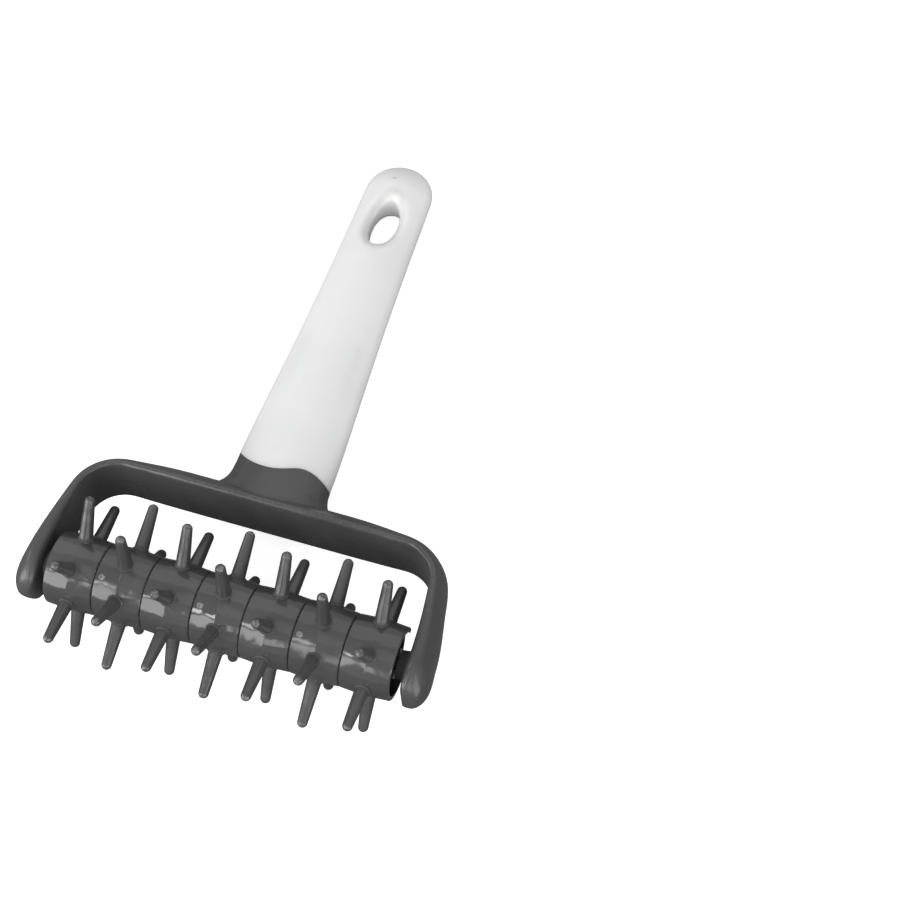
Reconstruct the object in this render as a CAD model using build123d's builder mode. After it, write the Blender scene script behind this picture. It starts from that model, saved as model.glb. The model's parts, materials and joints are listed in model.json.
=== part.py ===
"""Dough docker: a roller of seven spiked rings in a forked yoke with a tapered grip.

Millimetres, +Z up. The tool lies as it is put down on a table: on two
neighbouring rows of spike tips and on the rounded end of the grip. +X runs
along the roller, +Y from the roller to the end of the grip. The origin is on
the table, under the middle of the whole tool.
"""
import os
from math import asin, atan2, cos, degrees, hypot, pi, radians, sin, tan

from build123d import *

os.makedirs("parts", exist_ok=True)

# Spiked rings
ring_count = 7
spikes_per_ring = 6
ring_pitch = 15.2
ring_seam = 0.2
barrel_middle_radius = 11.4
barrel_draft = 0.5
barrel_wall = 1.4
barrel_rim_chamfer = 0.25
ring_web = 2.4
ring_hub_radius = 4.6
ring_hub_recess = 0.8
rim_notch_depth = 2.1
rim_notch_turn = 47.0
rim_notch_half_angle = 32.0

# Spikes
spike_root_radius = 2.15
spike_tip_radius = 1.55
spike_tip_centre = 23.55
spike_fillet = 0.4

# Core bar that keys the rings, with a round journal at each end
core_across_flats = 5.0
core_fit = 0.12
journal_radius = 2.0
journal_length = 5.6
journal_clearance = 0.06
journal_end_gap = 0.8
journal_chamfer = 0.4
end_play = 0.6

# Yoke: a deep strap bent round the roller, flat inside and crowned outside
bar_room = 7.3
bar_straight = 22.0
strap_half_depth = 10.6
strap_rim_radius = 1.2
bar_thickness = 6.9
corner_thickness = 5.1
corner_half_depth = 10.0
corner_radius = 11.2
arm_thickness = 7.4
arm_half_depth = 9.8
arm_rim_radius = 2.4
arm_end_reach = 11.55
arm_room = 3.0
arm_inner_flare = 8.0
hub_boss_radius = 5.1
hub_boss_tip_radius = 4.2

# Grip: one smooth oval body, its root moulded with the yoke
grip_half_width = 15.2
grip_half_depth = 9.6
grip_end_centre = 155.4
grip_end_half_width = 11.1
grip_end_half_depth = 6.0
grip_side_share = 0.62
neck_length = 7.7
neck_flare = 3.8

# Wavy joint between the dark neck and the pale handle
seam_from_bar = 7.9
seam_wave = 3.2
seam_gap = 0.05

# Tang of the yoke inside the handle
tang_width = 17.0
tang_depth = 9.0
tang_length = 46.0
tang_fit = 0.1
tang_chamfer = 1.0
socket_end_gap = 1.0

# Hanging hole
hole_from_end_centre = 13.7
hole_half_width = 4.3
hole_half_length = 9.0
hole_rim_radius = 2.6

# Overrun of every cut
overrun = 1.0

# The bar clears the spike tips, and the seam, tang and hole follow the bar and the grip's end
spike_reach = spike_tip_centre + spike_tip_radius
bar_front = spike_reach + bar_room
bar_back = bar_front + bar_thickness
seam_along = bar_back + seam_from_bar
hole_along = grip_end_centre - hole_from_end_centre
# Depth of the cuts square to the tool plane
cut_depth = 2 * (strap_half_depth + overrun)

# Rows of spikes: neighbouring rings are turned by half a spacing
spike_spacing = 360 / spikes_per_ring
row_spacing = spike_spacing / 2
lowest_row = row_spacing / 2

# Pose of the tool at rest, from the sizes above
axle_height = spike_tip_centre * cos(radians(lowest_row)) + spike_tip_radius


def oval_side_radius(half_depth):
    """Radius of the two small side arcs of an oval section."""
    return grip_side_share * half_depth


def oval_crown_radius(half_width, half_depth):
    """Radius of the two large arcs that run tangent into the side arcs."""
    side = oval_side_radius(half_depth)
    return ((half_width - side) ** 2 + half_depth ** 2 - side ** 2) / (2 * (half_depth - side))


end_side = oval_side_radius(grip_end_half_depth)
end_crown = oval_crown_radius(grip_end_half_width, grip_end_half_depth)
crown_sink = end_crown - grip_end_half_depth
crown_distance = hypot(grip_end_centre, crown_sink)
lean = atan2(crown_sink, grip_end_centre) + asin((axle_height - end_crown) / crown_distance)
front_reach = spike_tip_centre * cos(radians(lowest_row)) + spike_tip_radius
back_reach = (grip_end_centre + grip_end_half_width - end_side) * cos(lean) + end_side
axle_along = (front_reach - back_reach) / 2

axle = Vector(0, axle_along, axle_height)
# Tool plane: local x along the axle, local y along the grip, local z square to both
tool = Plane(origin=axle, x_dir=(1, 0, 0), z_dir=(0, sin(lean), cos(lean)))


def across(along):
    """Plane square to the grip at a distance from the axle."""
    return Plane(origin=tool.from_local_coords((0, along, 0)), x_dir=(1, 0, 0), z_dir=tool.y_dir)


def facing_x(place):
    """Plane square to the axle at a place along it, its local x pointing along +Y."""
    return Plane(origin=axle + Vector(place, 0, 0), x_dir=(0, 1, 0), z_dir=(1, 0, 0))


# Roller
barrel_rim_radius = barrel_middle_radius - barrel_draft
ring_width = ring_pitch - ring_seam
ring_stack_half = ring_pitch * (ring_count - 1) / 2 + ring_width / 2
core_half_length = ring_stack_half - ring_hub_recess
boss_face = core_half_length + end_play
# The arms clear the end rings
arm_inner_at_axle = ring_stack_half + arm_room


def ring_place(index):
    """Place of a ring's middle along the axle."""
    return ring_pitch * (index - (ring_count - 1) / 2)


def ring_profile():
    """Half section of a ring: thin drafted barrel, middle web and hub."""
    half = ring_width / 2
    hub_half = half - ring_hub_recess
    web_half = ring_web / 2
    right_side = [
        (0, barrel_middle_radius),
        (half, barrel_rim_radius),
        (half, barrel_rim_radius - barrel_wall),
        (web_half, barrel_middle_radius - barrel_wall),
        (web_half, ring_hub_radius),
        (hub_half, ring_hub_radius),
        (hub_half, 0),
    ]
    left_side = [(-x, r) for x, r in reversed(right_side[1:])]
    return right_side + left_side


def spike_outline():
    """Half profile of a spike: flared root, slight taper and round tip."""
    root = barrel_rim_radius - barrel_wall / 2
    foot = spike_root_radius + spike_fillet
    flare_top = barrel_middle_radius + spike_fillet
    Line((0, root), (foot, root))
    Line((foot, root), (foot, barrel_middle_radius))
    CenterArc((foot, flare_top), spike_fillet, 180, 90)
    Line((spike_root_radius, flare_top), (spike_tip_radius, spike_tip_centre))
    CenterArc((0, spike_tip_centre), spike_tip_radius, 0, 90)
    Line((0, spike_tip_centre + spike_tip_radius), (0, root))


def make_ring(index):
    """One ring. Every second ring is the same moulding, turned end for end."""
    flipped = index % 2 == 1
    place = ring_place(index)
    first_row = -90 - lowest_row if flipped else -90 + lowest_row
    notch_row = 2 * spike_spacing - rim_notch_turn if flipped else rim_notch_turn
    notch_end = -1 if flipped else 1
    centre = axle + Vector(place, 0, 0)
    section = Plane(origin=centre, x_dir=(1, 0, 0), z_dir=(0, -1, 0))
    with BuildPart() as ring:
        with BuildSketch(section):
            with BuildLine():
                Polyline(*ring_profile(), close=True)
            make_face()
        revolve(axis=Axis(centre, (1, 0, 0)))
        rims = ring.edges().filter_by(GeomType.CIRCLE)
        rims = [edge for edge in rims if abs(edge.radius - barrel_rim_radius) < ring_seam / 2]
        chamfer(rims, length=barrel_rim_chamfer)
        for spike in range(spikes_per_ring):
            angle = radians(first_row + spike * spike_spacing)
            upright = Plane(origin=centre, x_dir=(1, 0, 0), z_dir=(0, -sin(angle), cos(angle)))
            with BuildSketch(upright):
                with BuildLine():
                    spike_outline()
                make_face()
            revolve(axis=Axis(centre, upright.y_dir))
        with BuildSketch(facing_x(place - ring_width / 2)):
            RegularPolygon(
                radius=core_across_flats / 2 + core_fit, side_count=6, major_radius=False
            )
        extrude(amount=ring_width, mode=Mode.SUBTRACT)
        with BuildSketch(facing_x(place + notch_end * ring_width / 2)):
            with BuildLine():
                Polyline((0, 0), *notch_corners(first_row + notch_row), close=True)
            make_face()
            Circle(ring_hub_radius, mode=Mode.SUBTRACT)
        extrude(amount=-notch_end * rim_notch_depth, mode=Mode.SUBTRACT)
    return ring


def notch_corners(middle):
    """Two outer corners of the cut that sets back one part of an end rim."""
    for angle in (middle - rim_notch_half_angle, middle + rim_notch_half_angle):
        yield 2 * barrel_rim_radius * cos(radians(angle)), 2 * barrel_rim_radius * sin(radians(angle))


def make_core():
    """Six-sided bar through all the rings, with a round journal at each end."""
    with BuildPart() as core:
        with BuildSketch(facing_x(-core_half_length)):
            RegularPolygon(radius=core_across_flats / 2, side_count=6, major_radius=False)
        extrude(amount=2 * core_half_length)
        reach = boss_face + journal_length
        with BuildSketch(facing_x(-reach)):
            Circle(journal_radius)
        extrude(amount=2 * reach)
        ends = core.faces().sort_by(Axis.X)
        chamfer(ends[0].edges() + ends[-1].edges(), length=journal_chamfer)
    return core


def oval(half_width, half_depth):
    """Closed oval outline of two crown arcs and two side arcs, tangent to each other."""
    side = oval_side_radius(half_depth)
    crown = oval_crown_radius(half_width, half_depth)
    share = crown / (crown - side)
    join_x = (half_width - side) * share
    join_y = half_depth - crown + (crown - half_depth) * share
    ThreePointArc((-join_x, join_y), (0, half_depth), (join_x, join_y))
    ThreePointArc((join_x, join_y), (half_width, 0), (join_x, -join_y))
    ThreePointArc((join_x, -join_y), (0, -half_depth), (-join_x, -join_y))
    ThreePointArc((-join_x, -join_y), (-half_width, 0), (-join_x, join_y))


def grip_section(along, half_width, half_depth):
    """One oval section square to the grip."""
    with BuildSketch(across(along)) as section:
        with BuildLine():
            oval(half_width, half_depth)
        make_face()
    return section.sketch


def grip_depth(along):
    """Half depth of the grip, tapering evenly from the neck to the end."""
    share = (along - bar_back) / (grip_end_centre - bar_back)
    return grip_half_depth + (grip_end_half_depth - grip_half_depth) * share


# Neck flare into the bar: share of the neck's length, share of the flare
neck_flare_shares = [
    (-0.6, 1.32), (-0.4, 1.22), (-0.2, 1.05), (0.0, 0.71), (0.2, 0.37), (0.4, 0.18), (0.6, 0.08),
    (0.8, 0.03), (1.0, 0.0),
]
# Grip outline: share of the length past the neck, share of the narrowing
grip_outline_shares = [
    (0.0, 0.0), (0.12, 0.09), (0.36, 0.43), (0.6, 0.72), (0.8, 0.88), (0.9, 0.94), (1.0, 1.0),
]
# Wavy joint: share of the grip's half width, share of the wave
seam_shares = [
    (-1.6, 2.6), (-0.98, 1.0), (-0.77, 0.17), (-0.45, -0.55), (-0.1, -0.72), (0.17, -0.38),
    (0.4, 0.08), (0.58, 0.2), (0.77, 0.04), (0.91, -0.2), (1.6, -0.6),
]


def neck_sections():
    """Sections of the neck, flared where it leaves the bar."""
    for length_share, flare_share in neck_flare_shares:
        along = bar_back + length_share * neck_length
        yield grip_section(along, grip_half_width + flare_share * neck_flare, grip_depth(along))


def handle_sections():
    """Sections of the grip past the neck, up to the middle of its rounded end."""
    start = bar_back + neck_length
    for length_share, narrow_share in grip_outline_shares:
        along = start + length_share * (grip_end_centre - start)
        half_width = grip_half_width + narrow_share * (grip_end_half_width - grip_half_width)
        yield grip_section(along, half_width, grip_depth(along))


def grip_end_half():
    """Half of the last oval, which turns about the end's centre into the rounded end."""
    with BuildSketch(across(grip_end_centre)) as half:
        with BuildLine():
            oval(grip_end_half_width, grip_end_half_depth)
        make_face()
        with Locations((-grip_end_half_width / 2, 0)):
            Rectangle(grip_end_half_width, 2 * grip_end_half_depth + overrun, mode=Mode.SUBTRACT)
    return half.sketch


def add_grip_body():
    """Neck and handle as one smooth body, added to the part that is being built."""
    loft(list(neck_sections()))
    loft(list(handle_sections()))
    end_axis = Axis(tool.from_local_coords((0, grip_end_centre, 0)), tool.z_dir)
    revolve(grip_end_half(), axis=end_axis, revolution_arc=180)


def beyond_seam(keep_neck, gap):
    """All that lies on one side of the wavy joint, seen square to the tool plane."""
    points = [(x * grip_half_width, seam_along + gap + s * seam_wave) for x, s in seam_shares]
    limit = grip_end_centre + 2 * grip_end_half_width if keep_neck else 0
    with BuildSketch(tool.offset(-strap_half_depth - overrun)) as side:
        with BuildLine():
            Spline(*points)
            Polyline(points[0], (points[0][0], limit), (points[-1][0], limit), points[-1])
        make_face()
    return side.sketch


def strap_outline(thickness, half_depth, rim_radius):
    """Closed outline of the strap: flat inner face, rounded rims and a crown tangent to them."""
    flat = half_depth - rim_radius
    sagitta = thickness - rim_radius
    crown = (sagitta ** 2 + flat ** 2 - rim_radius ** 2) / (2 * (sagitta - rim_radius))
    turn = degrees(atan2(flat, crown - sagitta))
    Line((0, -flat), (0, flat))
    CenterArc((rim_radius, flat), rim_radius, turn, 180 - turn)
    CenterArc((thickness - crown, 0), crown, -turn, 2 * turn)
    CenterArc((rim_radius, -flat), rim_radius, 180, 180 - turn)


def strap_plane(place, outward):
    """Plane across the strap at a place on its inner face, local x pointing outwards."""
    out_dir = tool.x_dir * outward[0] + tool.y_dir * outward[1]
    origin = tool.from_local_coords((place[0], place[1], 0))
    return Plane(origin=origin, x_dir=out_dir, z_dir=out_dir.cross(tool.z_dir))


def strap_section(place, outward, thickness, half_depth, rim_radius):
    """One section of the strap."""
    with BuildSketch(strap_plane(place, outward)) as section:
        with BuildLine():
            strap_outline(thickness, half_depth, rim_radius)
        make_face()
    return section.sketch


# Bar past its straight middle: share of the way to the corner, share of the thinning
bar_end_shares = [
    (0.0, 0.0), (0.14, 0.0), (0.3, 0.04), (0.44, 0.11), (0.58, 0.22), (0.72, 0.36), (0.86, 0.53), (1.0, 0.7),
]
# Corner: share of the turn, share of the thinning
corner_shares = [(0.2, 0.87), (0.4, 0.98), (0.6, 1.0), (0.8, 0.97)]
# Arm: share of the way from the corner to the axle, share of the thickening
arm_shares = [
    (0.0, 0.07), (0.17, 0.17), (0.34, 0.33), (0.5, 0.52), (0.67, 0.73), (0.84, 0.89), (1.0, 1.0),
]
# Rounded arm end past the axle: shares of its length, depth, outer half and inner half
arm_end_shares = [
    (0.25, 0.97, 1.07, 1.0), (0.45, 0.89, 1.08, 1.0), (0.65, 0.76, 0.98, 0.98), (0.8, 0.61, 0.79, 0.92),
    (0.9, 0.44, 0.58, 0.78), (0.97, 0.25, 0.36, 0.54), (0.995, 0.11, 0.12, 0.27),
]


def between(start, end, share):
    """Value a share of the way from one to another."""
    return start + (end - start) * share


def strap_sections(side):
    """Sections of one half of the strap, from the straight bar to the axle."""
    flare = radians(arm_inner_flare)
    centre_along = bar_front - corner_radius
    arm_start = centre_along + corner_radius * sin(flare)
    centre_x = arm_inner_at_axle - arm_start * tan(flare) / 2 - corner_radius * cos(flare)
    for way, thinning in bar_end_shares:
        place = (side * between(bar_straight, centre_x, way), bar_front)
        thickness = between(bar_thickness, corner_thickness, thinning)
        half_depth = between(strap_half_depth, corner_half_depth, thinning)
        yield strap_section(place, (0, 1), thickness, half_depth, strap_rim_radius)
    for turn, thinning in corner_shares:
        angle = between(pi / 2, flare, turn)
        outward = (side * cos(angle), sin(angle))
        place = (
            side * (centre_x + corner_radius * cos(angle)),
            centre_along + corner_radius * sin(angle),
        )
        thickness = between(bar_thickness, corner_thickness, thinning)
        half_depth = between(strap_half_depth, corner_half_depth, thinning)
        yield strap_section(place, outward, thickness, half_depth, strap_rim_radius)
    for way, growth in arm_shares:
        along = between(arm_start, 0, way)
        angle = atan2(along * tan(flare), arm_start)
        inner = arm_inner_at_axle - along * tan(angle) / 2
        outward = (side * cos(angle), sin(angle))
        thickness = between(corner_thickness, arm_thickness, growth)
        half_depth = between(corner_half_depth, arm_half_depth, growth)
        rim_radius = between(strap_rim_radius, arm_rim_radius, way)
        yield strap_section((side * inner, along), outward, thickness, half_depth, rim_radius)
    middle = arm_inner_at_axle + arm_thickness / 2
    for reach, depth, outer_half, inner_half in arm_end_shares:
        place = (side * (middle - inner_half * arm_thickness / 2), -reach * arm_end_reach)
        thickness = (outer_half + inner_half) * arm_thickness / 2
        half_depth = depth * arm_half_depth
        yield strap_section(place, (side, 0), thickness, half_depth, depth * arm_rim_radius)


def hub_boss(side):
    """Half profile of the tapered boss that reaches from an arm into the end ring."""
    foot = arm_inner_at_axle + arm_thickness / 2
    root = Plane(origin=axle, x_dir=(side, 0, 0), z_dir=(0, -side, 0))
    with BuildSketch(root) as boss:
        with BuildLine():
            Polyline(
                (boss_face, 0), (boss_face, hub_boss_tip_radius), (foot, hub_boss_radius), (foot, 0),
                close=True,
            )
        make_face()
    return boss.sketch


def make_yoke():
    """Strap with its two arms, hub bosses, neck and tang."""
    with BuildPart() as yoke:
        left_end = (-bar_straight, bar_front)
        bar = strap_section(left_end, (0, 1), bar_thickness, strap_half_depth, strap_rim_radius)
        extrude(bar, amount=2 * bar_straight, dir=(1, 0, 0))
        for side in (-1, 1):
            loft(list(strap_sections(side)))
            revolve(hub_boss(side), axis=Axis(axle, (1, 0, 0)))
            with BuildSketch(facing_x(side * boss_face)):
                Circle(journal_radius + journal_clearance)
            extrude(amount=side * (journal_length + journal_end_gap), mode=Mode.SUBTRACT)
        add_grip_body()
        extrude(beyond_seam(keep_neck=True, gap=0), amount=cut_depth, mode=Mode.SUBTRACT)
        with BuildSketch(across(bar_back)):
            Rectangle(tang_width, tang_depth)
        extrude(amount=seam_along - bar_back + tang_length)
        tang_end = yoke.faces().sort_by(Axis(axle, tool.y_dir))[-1]
        chamfer(tang_end.edges(), length=tang_chamfer)
    return yoke


def make_handle():
    """Pale handle with its socket and hanging hole."""
    with BuildPart() as handle:
        add_grip_body()
        extrude(beyond_seam(keep_neck=False, gap=seam_gap), amount=cut_depth, mode=Mode.SUBTRACT)
        with BuildSketch(across(bar_back)):
            Rectangle(tang_width + 2 * tang_fit, tang_depth + 2 * tang_fit)
        extrude(amount=seam_along - bar_back + tang_length + socket_end_gap, mode=Mode.SUBTRACT)
        with BuildSketch(tool.offset(-strap_half_depth)):
            with Locations((0, hole_along)):
                Ellipse(hole_half_width, hole_half_length)
        extrude(amount=2 * strap_half_depth, mode=Mode.SUBTRACT)
        hole_rims = handle.edges(Select.LAST).filter_by(lambda edge: edge.is_closed)
        fillet(hole_rims, radius=hole_rim_radius)
    return handle


yoke = make_yoke()
yoke.part.label = "yoke"
export_step(yoke.part, "parts/yoke.step")

handle = make_handle()
handle.part.label = "handle"
export_step(handle.part, "parts/handle.step")

core = make_core()
core.part.label = "core_bar"
export_step(core.part, "parts/core_bar.step")

for index in range(ring_count):
    ring = make_ring(index)
    ring.part.label = f"ring_{index + 1}"
    export_step(ring.part, f"parts/ring_{index + 1}.step")
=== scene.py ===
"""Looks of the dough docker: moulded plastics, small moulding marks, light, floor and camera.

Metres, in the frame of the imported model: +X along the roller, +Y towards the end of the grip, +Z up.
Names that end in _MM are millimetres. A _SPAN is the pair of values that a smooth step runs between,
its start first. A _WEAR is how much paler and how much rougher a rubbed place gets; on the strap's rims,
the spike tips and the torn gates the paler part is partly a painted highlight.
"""

import json
from math import cos, pi, radians, sin
from random import Random

import bmesh
import bpy
from mathutils import Matrix, Vector


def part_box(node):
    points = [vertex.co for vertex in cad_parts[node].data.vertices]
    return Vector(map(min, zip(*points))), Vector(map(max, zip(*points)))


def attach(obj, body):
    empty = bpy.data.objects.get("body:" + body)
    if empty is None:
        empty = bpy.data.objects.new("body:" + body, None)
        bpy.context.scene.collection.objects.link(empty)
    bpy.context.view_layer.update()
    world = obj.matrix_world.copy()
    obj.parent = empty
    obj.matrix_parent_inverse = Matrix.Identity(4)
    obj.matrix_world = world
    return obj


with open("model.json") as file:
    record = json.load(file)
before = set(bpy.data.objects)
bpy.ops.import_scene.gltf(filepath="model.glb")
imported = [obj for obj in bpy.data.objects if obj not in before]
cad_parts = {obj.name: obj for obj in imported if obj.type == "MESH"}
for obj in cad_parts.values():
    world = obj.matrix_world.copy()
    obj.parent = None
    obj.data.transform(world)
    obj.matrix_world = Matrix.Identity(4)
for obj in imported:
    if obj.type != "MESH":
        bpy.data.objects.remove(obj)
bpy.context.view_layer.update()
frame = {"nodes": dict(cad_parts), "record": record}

# The tool's own directions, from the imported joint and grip
JOINTS = {joint["name"]: joint for joint in frame["record"]["behaviour"]["joints"]}
MOUNTS = {mount["name"]: mount for mount in frame["record"]["mounts"]}
AXLE = Vector(JOINTS["roller_spin"]["pos_m"])
TOOL_NORMAL = Vector(MOUNTS["hanging_hole"]["axis"])
GRIP_DIRECTION = Vector((0, TOOL_NORMAL.z, -TOOL_NORMAL.y))
ROLLER_DIRECTION = Vector((1, 0, 0))

RING_COUNT = 7
RINGS = [f"ring_{number}" for number in range(1, RING_COUNT + 1)]
MM = 0.001

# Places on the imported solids: from the axle, from a ring's middle or from the tool's middle plane
BARREL_MM = 11.4
RING_HALF_MM = 7.5
SPIKE_REACH_MM = 25.1
STRAP_RIM_MM = 10.6
GRIP_END_MM = 166.5
HOLE_ALONG_MM = 141.7
HOLE_HALF_LENGTH_MM = 9.0
HOLE_HALF_WIDTH_MM = 4.3


def ring_middle(name):
    """Place of a ring's middle along X."""
    low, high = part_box(name)
    return (low[0] + high[0]) / 2


# Camera at the photograph's viewing angle
VIEW_AZIMUTH = radians(26.94)
VIEW_ELEVATION = radians(66.82)
VIEW_ROLL = radians(-10.13)
CAMERA_FROM_AXLE = Vector((0.15478, -0.14553, 0.55709))
LENS_MM = 81.55
SENSOR_MM = 36.0


def add_camera():
    """Camera turned by azimuth, elevation and a roll about its own line of sight."""
    right = Vector((cos(VIEW_AZIMUTH), sin(VIEW_AZIMUTH), 0))
    back = Vector((
        sin(VIEW_AZIMUTH) * cos(VIEW_ELEVATION),
        -cos(VIEW_AZIMUTH) * cos(VIEW_ELEVATION),
        sin(VIEW_ELEVATION),
    ))
    up = back.cross(right)
    rolled_right = right * cos(VIEW_ROLL) + up * sin(VIEW_ROLL)
    rolled_up = up * cos(VIEW_ROLL) - right * sin(VIEW_ROLL)
    data = bpy.data.cameras.new("photo_camera")
    data.lens = LENS_MM
    data.sensor_width = SENSOR_MM
    data.sensor_fit = "HORIZONTAL"
    camera = bpy.data.objects.new("photo_camera", data)
    turn = Matrix((rolled_right, rolled_up, back)).transposed().to_4x4()
    camera.matrix_world = Matrix.Translation(AXLE + CAMERA_FROM_AXLE) @ turn
    bpy.context.collection.objects.link(camera)
    bpy.context.scene.camera = camera


# Soft boxes: name, azimuth from the front towards +X, elevation, width, height, radiance
SOFT_BOXES = [
    ("front_left", -36, 29, 0.62, 0.82, 3.2),
    ("front_left_top", -40, 54, 0.2, 0.16, 7.5),
    ("left_low", -62, 10, 0.5, 0.5, 5.0),
    ("left_side", -92, 32, 0.5, 0.5, 2.0),
    ("front_right", 30, 32, 0.6, 0.6, 2.6),
    ("right_low", 62, 12, 0.6, 0.7, 3.0),
    ("right_top", 45, 58, 0.6, 0.6, 0.4),
    ("front_strip", -5, 33, 0.16, 0.42, 2.4),
    ("overhead", 0, 84, 0.6, 0.6, 0.25),
    ("back", 176, 42, 2.0, 1.0, 0.36),
]
LIGHT_DISTANCE = 1.3
WORLD_COLOUR = (0.98, 0.985, 1.0, 1)
WORLD_STRENGTH = 0.535


def add_soft_box(name, azimuth, elevation, width, height, radiance):
    """Rectangular light that faces the axle from a direction."""
    turn, rise = radians(azimuth), radians(elevation)
    away = Vector((sin(turn) * cos(rise), -cos(turn) * cos(rise), sin(rise)))
    data = bpy.data.lights.new(name, "AREA")
    data.shape = "RECTANGLE"
    data.size = width
    data.size_y = height
    data.energy = radiance * width * height * pi
    light = bpy.data.objects.new(name, data)
    light.location = AXLE + away * LIGHT_DISTANCE
    light.rotation_mode = "QUATERNION"
    light.rotation_quaternion = away.to_track_quat("Z", "Y")
    bpy.context.collection.objects.link(light)


def add_world():
    """Pale even surroundings."""
    world = bpy.data.worlds.new("pale_studio")
    world.use_nodes = True
    background = world.node_tree.nodes["Background"]
    background.inputs["Color"].default_value = WORLD_COLOUR
    background.inputs["Strength"].default_value = WORLD_STRENGTH
    bpy.context.scene.world = world


# Sockets of a Mix node that mixes colours
MIX_SHARE, MIX_FIRST, MIX_SECOND, MIX_RESULT = 0, 6, 7, 2


class Surface:
    """Builds one material's nodes, with lengths in millimetres of the object's own coordinates."""

    def __init__(self, name, specular=0.5):
        self.material = bpy.data.materials.new(name)
        self.material.use_nodes = True
        self.nodes = self.material.node_tree.nodes
        self.links = self.material.node_tree.links
        self.shader = self.nodes["Principled BSDF"]
        self.shader.inputs["Specular IOR Level"].default_value = specular
        place = self.nodes.new("ShaderNodeTexCoord")
        scale = self.nodes.new("ShaderNodeVectorMath")
        scale.operation = "SCALE"
        scale.inputs["Scale"].default_value = 1 / MM
        self.links.new(place.outputs["Object"], scale.inputs[0])
        self.place = scale.outputs["Vector"]
        self.height = None

    def put(self, socket, value):
        """Sets a socket to a number or colour, or links an output to it."""
        if isinstance(value, bpy.types.NodeSocket):
            self.links.new(value, socket)
        else:
            socket.default_value = value

    def math(self, operation, *values):
        """One scalar operation."""
        node = self.nodes.new("ShaderNodeMath")
        node.operation = operation
        for socket, value in zip(node.inputs, values):
            self.put(socket, value)
        return node.outputs[0]

    def stretched(self, stretch):
        """Coordinates scaled by a vector."""
        node = self.nodes.new("ShaderNodeMapping")
        node.inputs["Scale"].default_value = stretch
        self.links.new(self.place, node.inputs["Vector"])
        return node.outputs["Vector"]

    def noise(self, size, detail, place=None):
        """Noise between about 0.3 and 0.7, with features of a size in millimetres."""
        node = self.nodes.new("ShaderNodeTexNoise")
        node.inputs["Scale"].default_value = 1 / size
        node.inputs["Detail"].default_value = detail
        self.links.new(place or self.place, node.inputs["Vector"])
        return node.outputs["Fac"]

    def cells(self, size):
        """Distance to the nearest of scattered points, in millimetres."""
        node = self.nodes.new("ShaderNodeTexVoronoi")
        node.inputs["Scale"].default_value = 1 / size
        self.links.new(self.place, node.inputs["Vector"])
        return self.math("MULTIPLY", node.outputs["Distance"], size)

    def ramp(self, value, span, result=(0.0, 1.0)):
        """Value mapped smoothly from a span to a pair of results, and kept between them."""
        node = self.nodes.new("ShaderNodeMapRange")
        node.interpolation_type = "SMOOTHSTEP"
        node.inputs["From Min"].default_value, node.inputs["From Max"].default_value = span
        node.inputs["To Min"].default_value, node.inputs["To Max"].default_value = result
        self.links.new(value, node.inputs["Value"])
        return node.outputs["Result"]

    def mix(self, share, first, second):
        """Two colours mixed by a share."""
        node = self.nodes.new("ShaderNodeMix")
        node.data_type = "RGBA"
        self.put(node.inputs[MIX_SHARE], share)
        self.put(node.inputs[MIX_FIRST], first)
        self.put(node.inputs[MIX_SECOND], second)
        return node.outputs[MIX_RESULT]

    def along(self, direction, origin):
        """Distance in millimetres along a direction from a point given in metres."""
        node = self.nodes.new("ShaderNodeVectorMath")
        node.operation = "DOT_PRODUCT"
        self.links.new(self.place, node.inputs[0])
        node.inputs[1].default_value = direction
        return self.math("SUBTRACT", node.outputs["Value"], direction.dot(origin) / MM)

    def off_plane(self, direction, origin):
        """Distance in millimetres from a plane, on either side of it."""
        return self.math("ABSOLUTE", self.along(direction, origin))

    def from_axle(self):
        """Distance in millimetres from the axle."""
        flat = self.nodes.new("ShaderNodeVectorMath")
        flat.operation = "MULTIPLY"
        self.links.new(self.place, flat.inputs[0])
        flat.inputs[1].default_value = (0, 1, 1)
        distance = self.nodes.new("ShaderNodeVectorMath")
        distance.operation = "DISTANCE"
        self.links.new(flat.outputs["Vector"], distance.inputs[0])
        distance.inputs[1].default_value = (0, AXLE.y / MM, AXLE.z / MM)
        return distance.outputs["Value"]

    def oval(self, along_mm, across_mm, half_length_mm, half_width_mm):
        """Square of the distance from a place on the grip, in shares of an oval's half sizes."""
        along = self.math("SUBTRACT", self.along(GRIP_DIRECTION, AXLE), along_mm)
        across = self.math("SUBTRACT", self.along(ROLLER_DIRECTION, AXLE), across_mm)
        along = self.math("POWER", self.math("DIVIDE", along, half_length_mm), 2.0)
        across = self.math("POWER", self.math("DIVIDE", across, half_width_mm), 2.0)
        return self.math("ADD", along, across)

    def add_height(self, value, height_mm):
        """Adds to the height that the bump node reads, in millimetres."""
        raised = self.math("MULTIPLY", value, height_mm)
        self.height = raised if self.height is None else self.math("ADD", self.height, raised)

    def finish(self, colour, roughness):
        """Links colour, roughness and bump to the shader."""
        self.links.new(colour, self.shader.inputs["Base Color"])
        self.links.new(roughness, self.shader.inputs["Roughness"])
        bump = self.nodes.new("ShaderNodeBump")
        bump.inputs["Strength"].default_value = 1.0
        bump.inputs["Distance"].default_value = MM
        self.links.new(self.height, bump.inputs["Height"])
        self.links.new(bump.outputs["Normal"], self.shader.inputs["Normal"])
        return self.material


def grey(value):
    """Neutral grey colour."""
    return (value, value, value, 1)


# How much a noise counts its finer octaves
PLAIN_DETAIL, GRAIN_DETAIL, FLOW_DETAIL, STAIN_DETAIL = 1.0, 2.0, 3.0, 4.0

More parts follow.
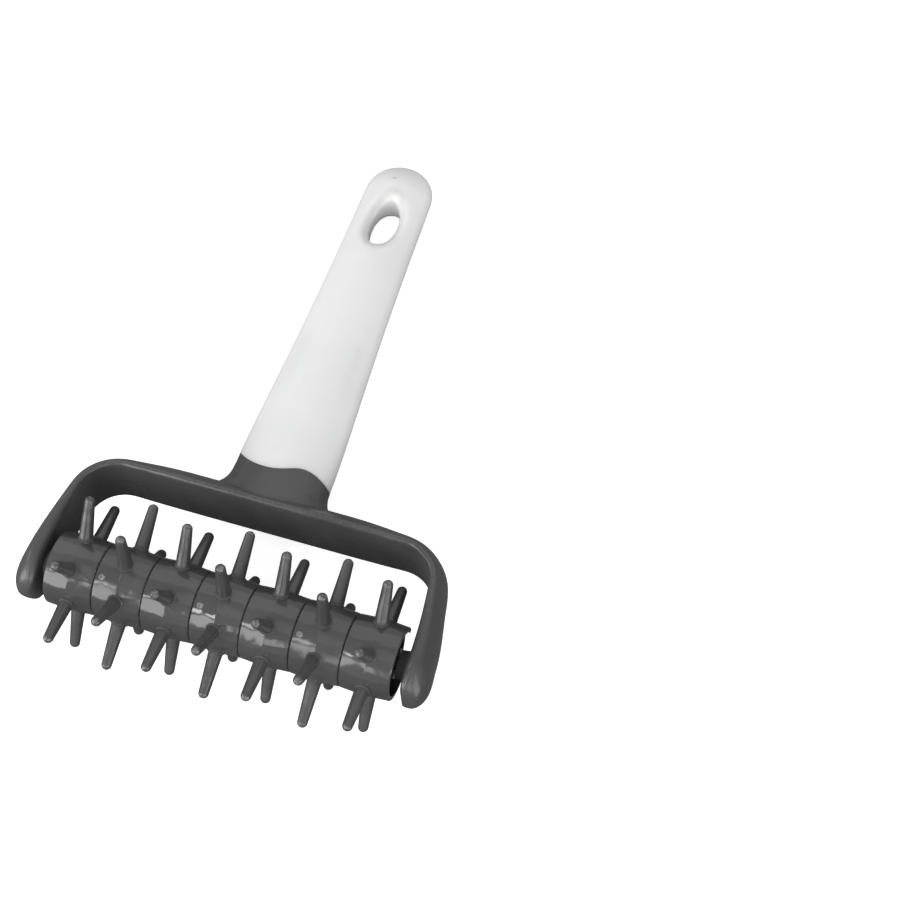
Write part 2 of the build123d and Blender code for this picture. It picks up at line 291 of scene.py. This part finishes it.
# Every dark plastic: flow mottling, grain and pale specks
FLOW_MM = 22.0
FLOW_DEPTH_MM = 0.02
FLOW_COLOUR_SPAN = (0.35, 0.65)
FLOW_ROUGH_SPAN = (0.3, 0.7)
FLOW_COLOUR_SHARES = (0.9, 1.1)
FLOW_ROUGH_SHARES = (0.88, 1.14)
GRAIN_MM = 0.35
SPECK_SPACING_MM = 3.1
SPECK_SPAN = (0.16, 0.05)
SPECK_SHARE = 0.12
SPECK_VALUE = 0.45


def dark_plastic(name, base, roughness, specular, grain_depth_mm):
    """Shared start of the dark moulded plastics: flow mottling, grain and pale specks."""
    surface = Surface(name, specular)
    flow = surface.noise(FLOW_MM, FLOW_DETAIL)
    grain = surface.noise(GRAIN_MM, GRAIN_DETAIL)
    specks = surface.ramp(surface.cells(SPECK_SPACING_MM), SPECK_SPAN)
    darker, paler = (grey(base * share) for share in FLOW_COLOUR_SHARES)
    colour = surface.mix(surface.ramp(flow, FLOW_COLOUR_SPAN), darker, paler)
    colour = surface.mix(surface.math("MULTIPLY", specks, SPECK_SHARE), colour, grey(SPECK_VALUE))
    rough = surface.ramp(flow, FLOW_ROUGH_SPAN, [roughness * share for share in FLOW_ROUGH_SHARES])
    surface.add_height(grain, grain_depth_mm)
    surface.add_height(flow, FLOW_DEPTH_MM)
    return surface, colour, rough


# Wear and painted sheen: patches of rubbed, paler plastic; on the strap's rims, the spike tips and the torn
# gates the paler colour is partly a painted highlight
WEAR_AND_SHEEN_MM = 0.9
WEAR_AND_SHEEN_SPAN = (0.42, 0.6)
WEAR_AND_SHEEN_VALUE = 0.3


def worn_and_sheen(surface, colour, rough, mask, wear):
    """Colour and roughness with the wear of a mask rubbed in, broken up by noise; where the mask also
    stands for a highlight, the paler colour is partly a painted highlight.
    """
    paler, rougher = wear
    patches = surface.ramp(surface.noise(WEAR_AND_SHEEN_MM, FLOW_DETAIL), WEAR_AND_SHEEN_SPAN)
    broken = surface.math("MULTIPLY", mask, patches)
    colour = surface.mix(surface.math("MULTIPLY", broken, paler), colour, grey(WEAR_AND_SHEEN_VALUE))
    return colour, surface.math("ADD", rough, surface.math("MULTIPLY", broken, rougher))


# Hairline handling marks: a noise drawn out along X, seen where it peaks, in patches
HAIR_MM = 0.5
HAIR_STRETCH = 40.0
HAIR_LINE_SPAN = (0.70, 0.74)
HAIR_PATCH_MM = 10.0
HAIR_PATCH_SPAN = (0.5, 0.62)
HAIR_SHARE = 0.2
HAIR_VALUE = 0.13
HAIR_ROUGHER = 0.15


def hairlines(surface):
    """Mask of thin handling marks along X."""
    drawn_out = surface.stretched((1 / HAIR_STRETCH, 1, 1))
    lines = surface.noise(HAIR_MM, PLAIN_DETAIL, drawn_out)
    patch_noise = surface.noise(HAIR_PATCH_MM, PLAIN_DETAIL)
    patches = surface.ramp(patch_noise, HAIR_PATCH_SPAN, (0.0, HAIR_SHARE))
    return surface.math("MULTIPLY", surface.ramp(lines, HAIR_LINE_SPAN), patches)


# Yoke
YOKE_VALUE = 0.074
YOKE_ROUGHNESS = 0.25
YOKE_SPECULAR = 0.5
YOKE_GRAIN_DEPTH_MM = 0.0035
PARTING_SPAN = (0.14, 0.0)
YOKE_PARTING_MM = 0.015
STRAP_RIM_SPAN = (STRAP_RIM_MM - 1.1, STRAP_RIM_MM - 0.5)
STRAP_ALONG_SPAN = (6.0, 18.0)
STRAP_RIM_SMOOTHER = 0.16
# The strap rims' paler colour is partly rubbing and partly a painted highlight line along the rim
STRAP_RIM_HIGHLIGHT_AND_WEAR = (0.08, 0.03)


def yoke_plastic():
    """Semi-gloss dark plastic, smoother along the strap's rims and paler there, partly from rubbing and
    partly as a painted highlight line.
    """
    surface, colour, rough = dark_plastic(
        "yoke_plastic", YOKE_VALUE, YOKE_ROUGHNESS, YOKE_SPECULAR, YOKE_GRAIN_DEPTH_MM
    )
    off_middle = surface.off_plane(TOOL_NORMAL, AXLE)
    surface.add_height(surface.ramp(off_middle, PARTING_SPAN), YOKE_PARTING_MM)
    behind_arms = surface.ramp(surface.along(GRIP_DIRECTION, AXLE), STRAP_ALONG_SPAN)
    rims = surface.math("MULTIPLY", surface.ramp(off_middle, STRAP_RIM_SPAN), behind_arms)
    rough = surface.math("SUBTRACT", rough, surface.math("MULTIPLY", rims, STRAP_RIM_SMOOTHER))
    # Paler strap rims: partly wear, partly a painted highlight line
    colour, rough = worn_and_sheen(surface, colour, rough, rims, STRAP_RIM_HIGHLIGHT_AND_WEAR)
    hair = hairlines(surface)
    colour = surface.mix(hair, colour, grey(HAIR_VALUE))
    rough = surface.math("ADD", rough, surface.math("MULTIPLY", hair, HAIR_ROUGHER))
    return surface.finish(colour, rough)


# Rings: each is a moulding with its own gloss
RING_VALUE = 0.063
RING_ROUGHNESS = {
    "ring_1": 0.12, "ring_2": 0.18, "ring_3": 0.13, "ring_4": 0.09,
    "ring_5": 0.12, "ring_6": 0.2, "ring_7": 0.13,
}
RING_SPECULAR = 0.85
RING_GRAIN_DEPTH_MM = 0.0012
RING_PARTING_SPAN = (0.12, 0.0)
RING_PARTING_MM = 0.025
WAVE_MM = 5.5
WAVE_DEPTH_MM = 0.3
BARREL_SPAN = (BARREL_MM + 0.6, BARREL_MM)
SPIKE_SPAN = (BARREL_MM + 0.02, BARREL_MM + 0.15)
SPIKE_ROUGHER = 0.16
ROOT_SPAN = (BARREL_MM + 1.4, BARREL_MM + 0.5)
ROOT_ROUGHER = 0.5
RING_RIM_SPAN = (RING_HALF_MM - 0.4, RING_HALF_MM)
RING_RIM_WEAR = (0.14, 0.05)
TIP_SPAN = (SPIKE_REACH_MM - 1.3, SPIKE_REACH_MM - 0.2)
# The spike tips' paler colour is partly rubbing and partly a painted glint
TIP_GLINT_AND_WEAR = (0.45, -0.04)
PIT_MM = 0.5
PIT_DEPTH_MM = 0.16


def ring_plastic(name):
    """Glossy dark plastic of a ring, with the mould's parting line, rubbed rims and paler spike tips,
    partly rubbed and partly a painted glint.
    """
    surface, colour, rough = dark_plastic(
        f"{name}_plastic", RING_VALUE, RING_ROUGHNESS[name], RING_SPECULAR, RING_GRAIN_DEPTH_MM
    )
    off_middle = surface.off_plane(ROLLER_DIRECTION, Vector((ring_middle(name), 0, 0)))
    surface.add_height(surface.ramp(off_middle, RING_PARTING_SPAN), RING_PARTING_MM)
    surface.add_height(surface.noise(WAVE_MM, PLAIN_DETAIL), WAVE_DEPTH_MM)
    off_axle = surface.from_axle()
    spikes = surface.ramp(off_axle, SPIKE_SPAN)
    roots = surface.math("MULTIPLY", spikes, surface.ramp(off_axle, ROOT_SPAN))
    rough = surface.math("ADD", rough, surface.math("MULTIPLY", spikes, SPIKE_ROUGHER))
    rough = surface.math("ADD", rough, surface.math("MULTIPLY", roots, ROOT_ROUGHER))
    barrel = surface.ramp(off_axle, BARREL_SPAN)
    rims = surface.math("MULTIPLY", surface.ramp(off_middle, RING_RIM_SPAN), barrel)
    tips = surface.ramp(off_axle, TIP_SPAN)
    pits = surface.math("MULTIPLY", surface.noise(PIT_MM, PLAIN_DETAIL), tips)
    surface.add_height(pits, PIT_DEPTH_MM)
    rough = surface.math("SUBTRACT", rough, surface.math("MULTIPLY", tips, SPIKE_ROUGHER))
    colour, rough = worn_and_sheen(surface, colour, rough, rims, RING_RIM_WEAR)
    # Paler spike tips: partly wear, partly a painted glint
    colour, rough = worn_and_sheen(surface, colour, rough, tips, TIP_GLINT_AND_WEAR)
    return surface.finish(colour, rough)


# Torn gates: pale partly as torn plastic and partly as a painted glint
TORN_AND_GLINT_VALUE = 0.3
TORN_ROUGHNESS = 0.14
TORN_SPECULAR = 1.0
TORN_GRAIN_DEPTH_MM = 0.02
RAG_MM = 0.4
RAG_SPAN = (0.42, 0.58)
RAG_DEPTH_MM = 0.12
TORN_GLINT_AND_WEAR = (0.5, 0.1)


def torn_and_glinting_plastic():
    """Ragged dark plastic where a gate was broken off, paler partly from the tear and partly as a painted
    glint.
    """
    surface, colour, rough = dark_plastic(
        "torn_and_glinting_plastic", TORN_AND_GLINT_VALUE, TORN_ROUGHNESS, TORN_SPECULAR, TORN_GRAIN_DEPTH_MM
    )
    rags = surface.ramp(surface.noise(RAG_MM, FLOW_DETAIL), RAG_SPAN)
    surface.add_height(rags, RAG_DEPTH_MM)
    # Paler rags: partly torn plastic, partly painted glints
    colour, rough = worn_and_sheen(surface, colour, rough, rags, TORN_GLINT_AND_WEAR)
    return surface.finish(colour, rough)


# Core bar
CORE_VALUE = 0.03
CORE_ROUGHNESS = 0.4
CORE_SPECULAR = 0.5
CORE_GRAIN_DEPTH_MM = 0.004
CORE_END_SPAN = (52.0, 58.0)
CORE_WEAR = (0.1, 0.1)


def core_plastic():
    """Black plastic of the core bar, scuffed by the rings."""
    surface, colour, rough = dark_plastic(
        "core_plastic", CORE_VALUE, CORE_ROUGHNESS, CORE_SPECULAR, CORE_GRAIN_DEPTH_MM
    )
    ends = surface.ramp(surface.off_plane(ROLLER_DIRECTION, AXLE), CORE_END_SPAN)
    colour, rough = worn_and_sheen(surface, colour, rough, ends, CORE_WEAR)
    return surface.finish(colour, rough)


# Grip: pale plastic that light enters, with stains, a sink mark over the tang and painted shade inside the
# rim of the hole
GRIP_GLOW_SHARE = 0.6
GRIP_GLOW_COLOUR = (1.0, 1.0, 0.95)
GRIP_GLOW_DEPTH = 0.003
GRIP_DARKER = (0.86, 0.86, 0.855, 1)
GRIP_PALER = (0.895, 0.895, 0.885, 1)
GRIP_ROUGHNESSES = (0.33, 0.42)
GRIP_FLOW_MM = 30.0
GRIP_FLOW_DEPTH_MM = 0.06
GRIP_GRAIN_MM = 0.5
GRIP_GRAIN_DEPTH_MM = 0.003
GRIP_PARTING_MM = 0.02
STAIN_MM = 7.0
STAIN_SPAN = (0.62, 0.72)
STAIN_SHARE = 0.2
STAIN_COLOUR = (0.79, 0.79, 0.77, 1)
SINK_ALONG_MM = 63.0
SINK_ACROSS_MM = -1.3
SINK_HALF_LENGTH_MM = 7.0
SINK_HALF_WIDTH_MM = 4.5
SINK_SPAN = (1.0, 0.0)
SINK_DEPTH_MM = -0.12
# Painted shade: a darker band inside the rim of the hanging hole, broken into patches
HOLE_SHADE_MM = 2.2
HOLE_SHADE_OUTER_SPAN = (1.55, 1.22)
HOLE_SHADE_INNER_SPAN = (1.02, 1.12)
HOLE_SHADE_NOISE_SPAN = (0.3, 0.6)
HOLE_SHADE_SHARES = (0.18, 0.3)
HOLE_SHADE_COLOUR = (0.45, 0.44, 0.41, 1)
GRIP_END_SPAN = (GRIP_END_MM - 4.0, GRIP_END_MM)
GRIP_END_WEAR = (0.05, 0.08)


def hole_painted_shade(surface):
    """Mask of the faint painted shade inside the rim of the hanging hole."""
    spread = surface.math("SQRT", surface.oval(HOLE_ALONG_MM, 0.0, HOLE_HALF_LENGTH_MM, HOLE_HALF_WIDTH_MM))
    band = surface.math(
        "MULTIPLY", surface.ramp(spread, HOLE_SHADE_OUTER_SPAN), surface.ramp(spread, HOLE_SHADE_INNER_SPAN)
    )
    patches = surface.ramp(surface.noise(HOLE_SHADE_MM, FLOW_DETAIL), HOLE_SHADE_NOISE_SPAN, HOLE_SHADE_SHARES)
    return surface.math("MULTIPLY", band, patches)


def grip_plastic():
    """Off-white satin plastic with faint mottling, a parting line and a sink mark over the tang."""
    surface = Surface("grip_plastic")
    surface.shader.inputs["Subsurface Weight"].default_value = GRIP_GLOW_SHARE
    surface.shader.inputs["Subsurface Radius"].default_value = GRIP_GLOW_COLOUR
    surface.shader.inputs["Subsurface Scale"].default_value = GRIP_GLOW_DEPTH
    flow = surface.noise(GRIP_FLOW_MM, FLOW_DETAIL)
    colour = surface.mix(surface.ramp(flow, FLOW_COLOUR_SPAN), GRIP_DARKER, GRIP_PALER)
    stains = surface.ramp(surface.noise(STAIN_MM, STAIN_DETAIL), STAIN_SPAN, (0.0, STAIN_SHARE))
    colour = surface.mix(stains, colour, STAIN_COLOUR)
    rough = surface.ramp(flow, FLOW_ROUGH_SPAN, GRIP_ROUGHNESSES)
    off_middle = surface.off_plane(TOOL_NORMAL, AXLE)
    surface.add_height(surface.ramp(off_middle, PARTING_SPAN), GRIP_PARTING_MM)
    surface.add_height(surface.noise(GRIP_GRAIN_MM, FLOW_DETAIL), GRIP_GRAIN_DEPTH_MM)
    surface.add_height(flow, GRIP_FLOW_DEPTH_MM)
    sink = surface.oval(SINK_ALONG_MM, SINK_ACROSS_MM, SINK_HALF_LENGTH_MM, SINK_HALF_WIDTH_MM)
    surface.add_height(surface.ramp(sink, SINK_SPAN), SINK_DEPTH_MM)
    # Painted shade darkens the band inside the hole's rim
    colour = surface.mix(hole_painted_shade(surface), colour, HOLE_SHADE_COLOUR)
    end = surface.ramp(surface.along(GRIP_DIRECTION, AXLE), GRIP_END_SPAN)
    colour, rough = worn_and_sheen(surface, colour, rough, end, GRIP_END_WEAR)
    return surface.finish(colour, rough)


def dress(node, material):
    """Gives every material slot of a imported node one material."""
    for slot in frame["nodes"][node].material_slots:
        slot.material = material


# Torn gate stub: radius and height of each of its circles, in shares of its half sizes
STUB_SHARES = [(1.15, -0.3), (0.95, 0.3), (0.72, 0.85), (0.5, 1.0), (0.28, 0.45)]
STUB_SIDES = 14
UNEVEN_REACH = (0.86, 1.12)
UNEVEN_RISE = (0.7, 1.2)
RING_STUB_MM = (1.0, 0.85, 0.5)
GRIP_STUB_MM = (0.62, 0.22, 0.05)
STUB_OFF_MIDDLE_MM = 5.4
STUB_TURN = radians(12.5)
GRIP_STUB_ALONG_MM = 158.6
GRIP_STUB_ACROSS_MM = -1.9
CAST_FROM = 0.06


def surface_hit(node, point, direction):
    """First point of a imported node's surface on a ray, and the normal there."""
    piece = frame["nodes"][node]
    inverse = piece.matrix_world.inverted()
    start = inverse @ point
    hit, spot, normal, _ = piece.ray_cast(start, (inverse.to_3x3() @ direction).normalized())
    if not hit:
        raise ValueError(f"the ray misses {node}")
    return piece.matrix_world @ spot, (piece.matrix_world.to_3x3() @ normal).normalized()


def add_stub(name, body, spot, normal, size_mm, material):
    """Small torn lump where the moulding's gate was broken off, longest along X."""
    uneven = Random(name)
    half_length, half_width, height = (size * MM for size in size_mm)
    mesh = bmesh.new()
    circles = []
    for radius_share, height_share in STUB_SHARES:
        circle = []
        for side in range(STUB_SIDES):
            angle = 2 * pi * side / STUB_SIDES
            reach = radius_share * uneven.uniform(*UNEVEN_REACH)
            rise = height_share * uneven.uniform(*UNEVEN_RISE)
            point = (half_length * reach * cos(angle), half_width * reach * sin(angle), height * rise)
            circle.append(mesh.verts.new(point))
        circles.append(circle)
    for outer, inner in zip(circles, circles[1:]):
        for side in range(STUB_SIDES):
            after = (side + 1) % STUB_SIDES
            mesh.faces.new((outer[side], outer[after], inner[after], inner[side]))
    mesh.faces.new(circles[-1])
    mesh.faces.new(circles[0][::-1])
    bmesh.ops.recalc_face_normals(mesh, faces=mesh.faces)
    data = bpy.data.meshes.new(name)
    mesh.to_mesh(data)
    mesh.free()
    data.materials.append(material)
    stub = bpy.data.objects.new(name, data)
    side_way = normal.cross(ROLLER_DIRECTION).normalized()
    turn = Matrix((side_way.cross(normal), side_way, normal)).transposed().to_4x4()
    stub.matrix_world = Matrix.Translation(spot) @ turn
    bpy.context.collection.objects.link(stub)
    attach(stub, body)


def add_ring_stub(index, material):
    """Gate stub of one ring. Every second ring is the same moulding, turned end for end."""
    name = RINGS[index]
    turned = index % 2 == 1
    angle = STUB_TURN if turned else pi - STUB_TURN
    away = Vector((0, -sin(angle), cos(angle)))
    off_middle = (-1 if turned else 1) * STUB_OFF_MIDDLE_MM * MM
    place = Vector((ring_middle(name) + off_middle, AXLE.y, AXLE.z))
    spot, normal = surface_hit(name, place + away * CAST_FROM, -away)
    add_stub(f"gate_stub_{name}", "roller", spot, normal, RING_STUB_MM, material)


def add_grip_stub(material):
    """Low gate scar near the end of the grip."""
    along = GRIP_DIRECTION * GRIP_STUB_ALONG_MM * MM
    place = AXLE + along + ROLLER_DIRECTION * GRIP_STUB_ACROSS_MM * MM
    spot, normal = surface_hit("handle", place + TOOL_NORMAL * CAST_FROM, -TOOL_NORMAL)
    add_stub("gate_stub_grip", "frame", spot, normal, GRIP_STUB_MM, material)


# Stage: a white sheet that the camera sees, over the greyer table that the tool reflects; the table's grey
# stands in for the shade on the floor around and under the tool
FLOOR_HALF = 4.0
SHEET_VALUE = 0.92
SHEET_GLOW = 0.7
SHADED_FLOOR_VALUE = 0.3
TABLE_DEPTH = 0.0005
FLOOR_FLOW_MM = 180.0
FLOOR_COLOUR_SHARES = (0.985, 1.015)
FLOOR_ROUGHNESSES = (0.55, 0.65)
FLOOR_GRAIN_MM = 1.5
FLOOR_GRAIN_DEPTH_MM = 0.004


def floor_paint(name, value, glow):
    """Matt floor with the faintest unevenness, lit from behind by a glow."""
    surface = Surface(name)
    surface.shader.inputs["Emission Color"].default_value = grey(1)
    surface.shader.inputs["Emission Strength"].default_value = glow
    flow = surface.noise(FLOOR_FLOW_MM, FLOW_DETAIL)
    darker, paler = (grey(value * share) for share in FLOOR_COLOUR_SHARES)
    colour = surface.mix(surface.ramp(flow, FLOW_ROUGH_SPAN), darker, paler)
    surface.add_height(surface.noise(FLOOR_GRAIN_MM, GRAIN_DETAIL), FLOOR_GRAIN_DEPTH_MM)
    return surface.finish(colour, surface.ramp(flow, FLOW_ROUGH_SPAN, FLOOR_ROUGHNESSES))


def add_plane(name, height, material):
    """Wide flat square at a height, part of the stage."""
    mesh = bpy.data.meshes.new(name)
    corners = [(-FLOOR_HALF, -FLOOR_HALF, height), (FLOOR_HALF, -FLOOR_HALF, height),
               (FLOOR_HALF, FLOOR_HALF, height), (-FLOOR_HALF, FLOOR_HALF, height)]
    mesh.from_pydata(corners, [], [(0, 1, 2, 3)])
    plane = bpy.data.objects.new(name, mesh)
    bpy.context.collection.objects.link(plane)
    mesh.materials.append(material)
    return plane


def add_floor():
    """White sheet and, just under it, the greyer table that stands in for the floor's shade."""
    sheet = add_plane("floor", 0, floor_paint("pale_floor", SHEET_VALUE, SHEET_GLOW))
    sheet.visible_diffuse = False
    sheet.visible_glossy = False
    # Painted shade: the grey table stands in for the floor's shade in what the tool reflects and bounces
    table = add_plane("table", -TABLE_DEPTH, floor_paint("floor_shade_table", SHADED_FLOOR_VALUE, 0))
    table.visible_camera = False


dress("yoke", yoke_plastic())
dress("core_bar", core_plastic())
pale_plastic = grip_plastic()
dress("handle", pale_plastic)
add_grip_stub(pale_plastic)
stub_plastic = torn_and_glinting_plastic()
for index, ring in enumerate(RINGS):
    dress(ring, ring_plastic(ring))
    add_ring_stub(index, stub_plastic)

add_floor()
add_world()
for soft_box in SOFT_BOXES:
    add_soft_box(*soft_box)
add_camera()
bpy.context.scene.view_settings.view_transform = "Standard"
